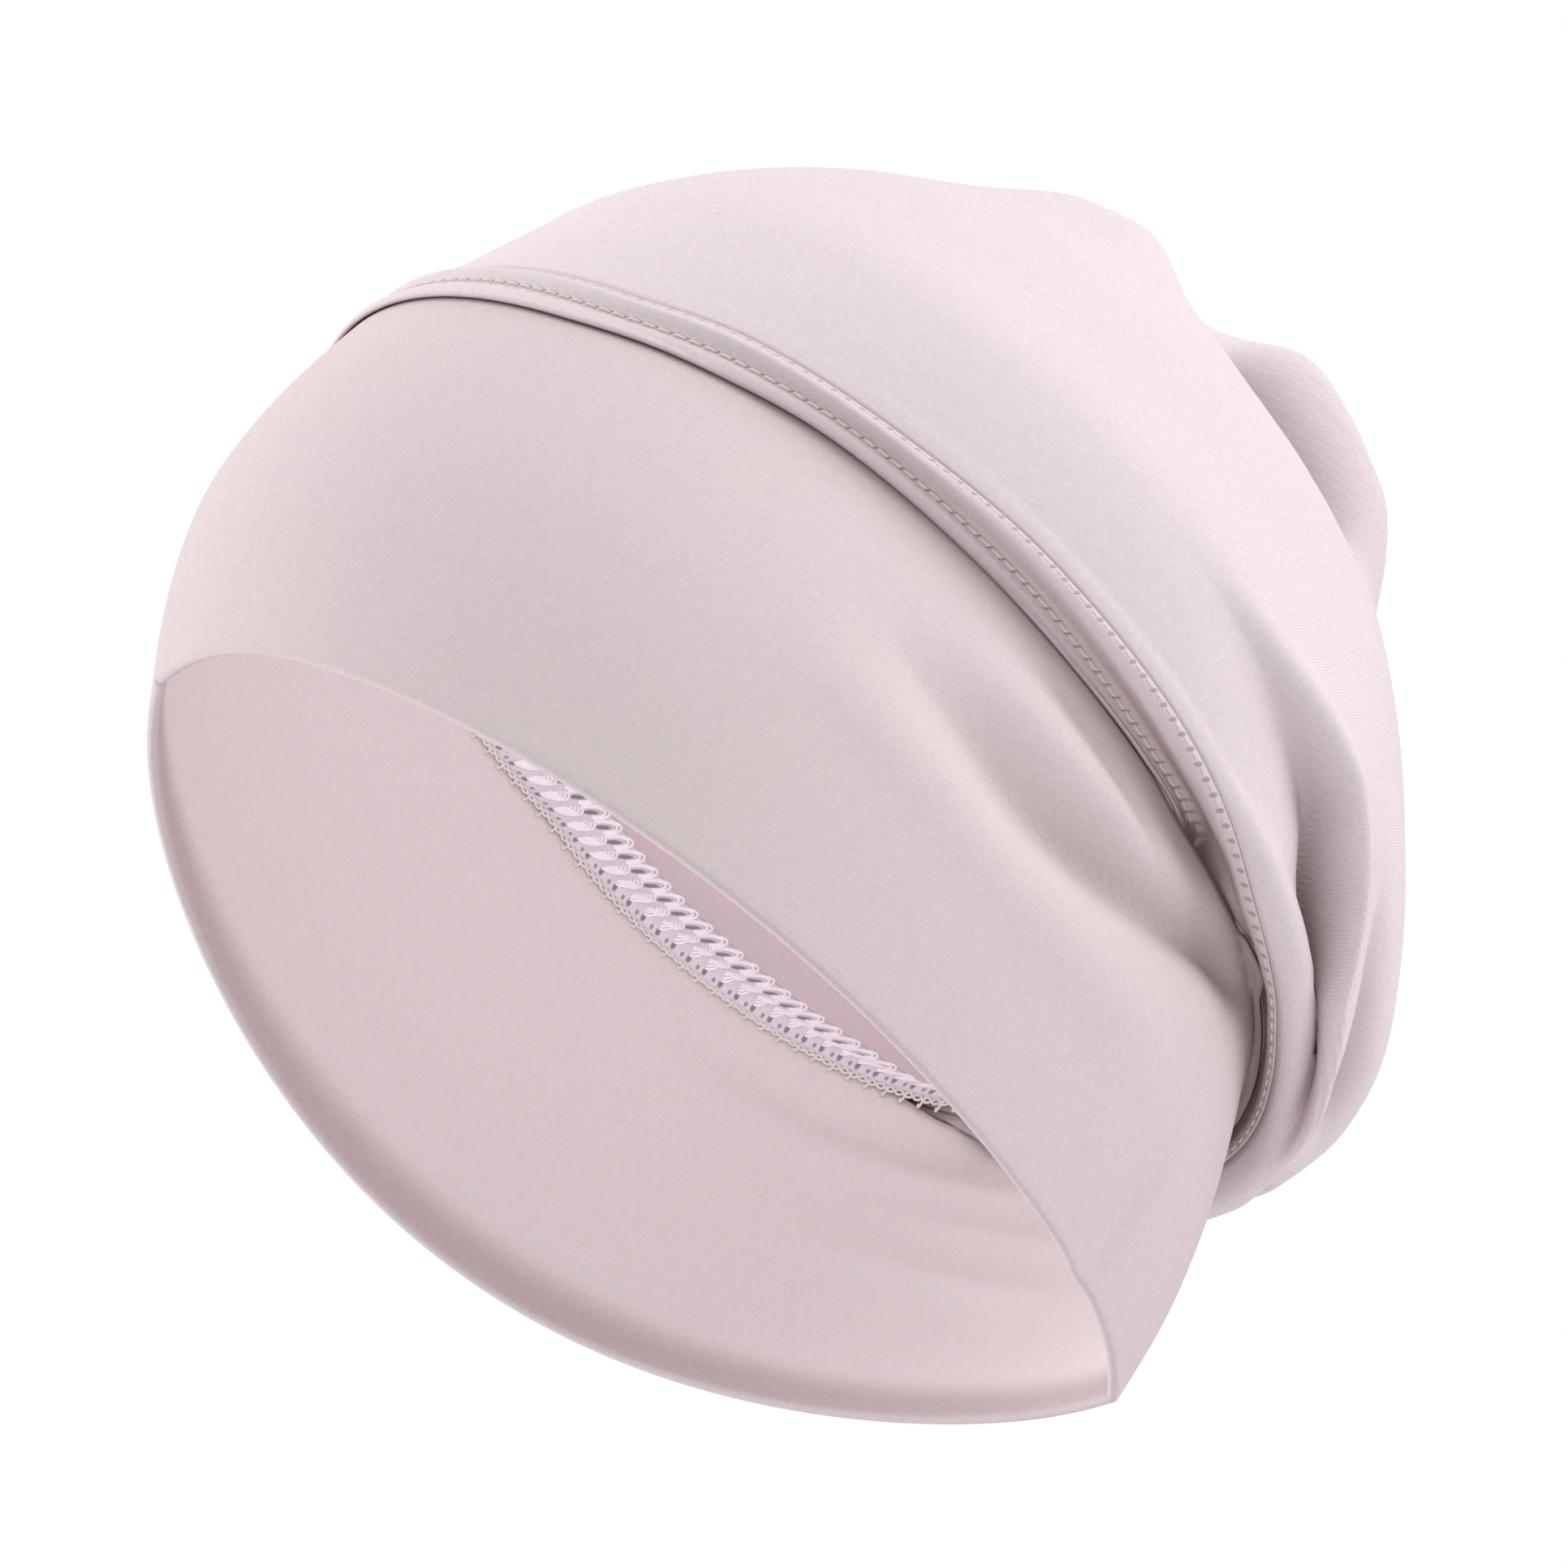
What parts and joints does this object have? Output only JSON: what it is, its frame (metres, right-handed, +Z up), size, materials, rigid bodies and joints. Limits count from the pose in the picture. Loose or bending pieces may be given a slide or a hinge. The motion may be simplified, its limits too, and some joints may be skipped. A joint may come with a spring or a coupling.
{
  "type": "hijab underscarf cap",
  "caption": "Slouchy jersey underscarf cap: a wide doubled band folded at the opening, a soft gathered crown, and a lapped, top-stitched seam between them.",
  "frame": {"origin": "middle of the head opening, where the head goes in", "axes": "+Z up as worn, -Y the front of the cap, +X the wearer's left"},
  "size_m": [0.1677, 0.2393, 0.2454],
  "materials": {
    "band_jersey": "matte knit",
    "crown_jersey": "matte knit",
    "roll_jersey": "matte knit",
    "allowance_cloth": "matte knit under cover-stitch threads",
    "sewing_thread": "fine spun thread"
  },
  "bodies": {
    "root": {"band": "band_jersey", "crown": "crown_jersey", "seam_roll": "roll_jersey", "seam_allowance": "allowance_cloth"}
  },
  "joints": []
}
